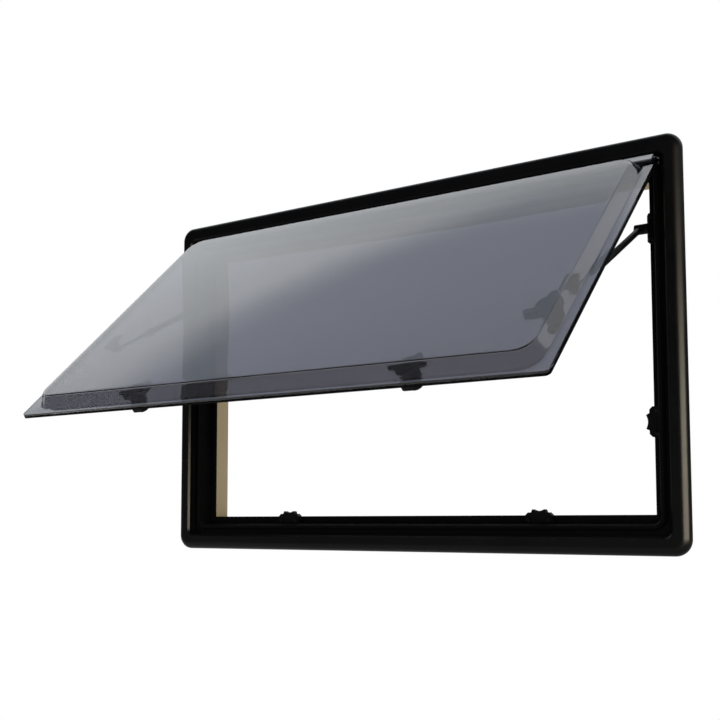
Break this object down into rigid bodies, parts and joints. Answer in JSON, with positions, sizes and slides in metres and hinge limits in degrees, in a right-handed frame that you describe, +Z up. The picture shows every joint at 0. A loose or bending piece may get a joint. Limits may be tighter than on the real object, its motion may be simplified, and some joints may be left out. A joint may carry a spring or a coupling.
{
  "type": "caravan window",
  "caption": "Top-hung caravan window: black flanged frame with a smoked acrylic pane held open on telescopic stays, with turn latches, strikers and a beige inner trim.",
  "frame": {"origin": "on the flange's back face, which lies on the caravan's outer skin, in the middle of the sill flange", "axes": "+X right as seen from outside, +Y into the caravan, +Z up"},
  "size_m": [0.95, 0.456, 0.6],
  "materials": {
    "black_moulding": "satin moulded polyurethane",
    "beige_trim": "satin moulded trim",
    "seal_rubber": "soft black rubber",
    "hinge_aluminium": "grey anodised extrusion",
    "smoked_acrylic": "clear smoked acrylic",
    "latch_nylon": "moulded nylon",
    "stay_black": "black powder coat on aluminium tube",
    "stay_steel": "drawn rod"
  },
  "bodies": {
    "frame": {"outer_frame": "black_moulding", "rebate_head": "black_moulding", "rebate_sill": "black_moulding", "rebate_left": "black_moulding", "rebate_right": "black_moulding", "inner_trim_head": "beige_trim", "inner_trim_sill": "beige_trim", "inner_trim_left": "beige_trim", "inner_trim_right": "beige_trim", "weather_seal": "seal_rubber", "head_seal": "seal_rubber", "hinge_rail": "hinge_aluminium", "striker_bottom_left": "latch_nylon", "striker_bottom_right": "latch_nylon", "striker_right": "latch_nylon", "stay_bracket_left": "latch_nylon", "stay_bracket_right": "latch_nylon"},
    "pane": {"outer_pane": "smoked_acrylic", "inner_pane": "smoked_acrylic", "hinge_leaf": "hinge_aluminium", "latch_base_bottom_left": "latch_nylon", "latch_base_bottom_right": "latch_nylon", "latch_base_right": "latch_nylon", "stay_foot_left": "latch_nylon", "stay_foot_right": "latch_nylon"},
    "latch_bottom_left": {"latch_handle_bottom_left": "latch_nylon"},
    "latch_bottom_right": {"latch_handle_bottom_right": "latch_nylon"},
    "latch_right": {"latch_handle_right": "latch_nylon"},
    "stay_tube_left": {"stay_tube_left": "stay_black"},
    "stay_rod_left": {"stay_rod_left": "stay_steel"},
    "stay_tube_right": {"stay_tube_right": "stay_black"},
    "stay_rod_right": {"stay_rod_right": "stay_steel"}
  },
  "joints": [
    {"name": "pane_hinge", "type": "hinge", "parent": "frame", "child": "pane", "pos_m": [0, -0.002, 0.553], "axis": [-1, 0, 0], "range_deg": [-47.7, 0]},
    {"name": "latch_bottom_left_turn", "type": "hinge", "parent": "pane", "child": "latch_bottom_left", "pos_m": [-0.238, -0.34141, 0.20833], "axis": [0, 0.673, -0.7396], "range_deg": [-90, 0]},
    {"name": "latch_bottom_right_turn", "type": "hinge", "parent": "pane", "child": "latch_bottom_right", "pos_m": [0.238, -0.34141, 0.20833], "axis": [0, 0.673, -0.7396], "range_deg": [-90, 0]},
    {"name": "latch_right_turn", "type": "hinge", "parent": "pane", "child": "latch_right", "pos_m": [0.3925, -0.26153, 0.28102], "axis": [0, 0.673, -0.7396], "range_deg": [-90, 0]},
    {"name": "stay_left_pivot", "type": "hinge", "parent": "frame", "child": "stay_tube_left", "pos_m": [-0.404, 0.015, 0.459], "axis": [-1, 0, 0], "range_deg": [-60.54, 0]},
    {"name": "stay_left_slide", "type": "slide", "parent": "stay_tube_left", "child": "stay_rod_left", "axis": [0, -0.8786, -0.4776], "range_m": [-0.05153, 0]},
    {"name": "stay_right_pivot", "type": "hinge", "parent": "frame", "child": "stay_tube_right", "pos_m": [0.404, 0.015, 0.459], "axis": [-1, 0, 0], "range_deg": [-60.54, 0]},
    {"name": "stay_right_slide", "type": "slide", "parent": "stay_tube_right", "child": "stay_rod_right", "axis": [0, -0.8786, -0.4776], "range_m": [-0.05153, 0]}
  ],
  "couplings": [
    {"joint": "stay_left_pivot", "follows": "pane_hinge", "ratio": 1.2682},
    {"joint": "stay_left_slide", "follows": "pane_hinge", "m_per_rad": 0.061841},
    {"joint": "stay_right_pivot", "follows": "pane_hinge", "ratio": 1.2682},
    {"joint": "stay_right_slide", "follows": "pane_hinge", "m_per_rad": 0.061841}
  ]
}
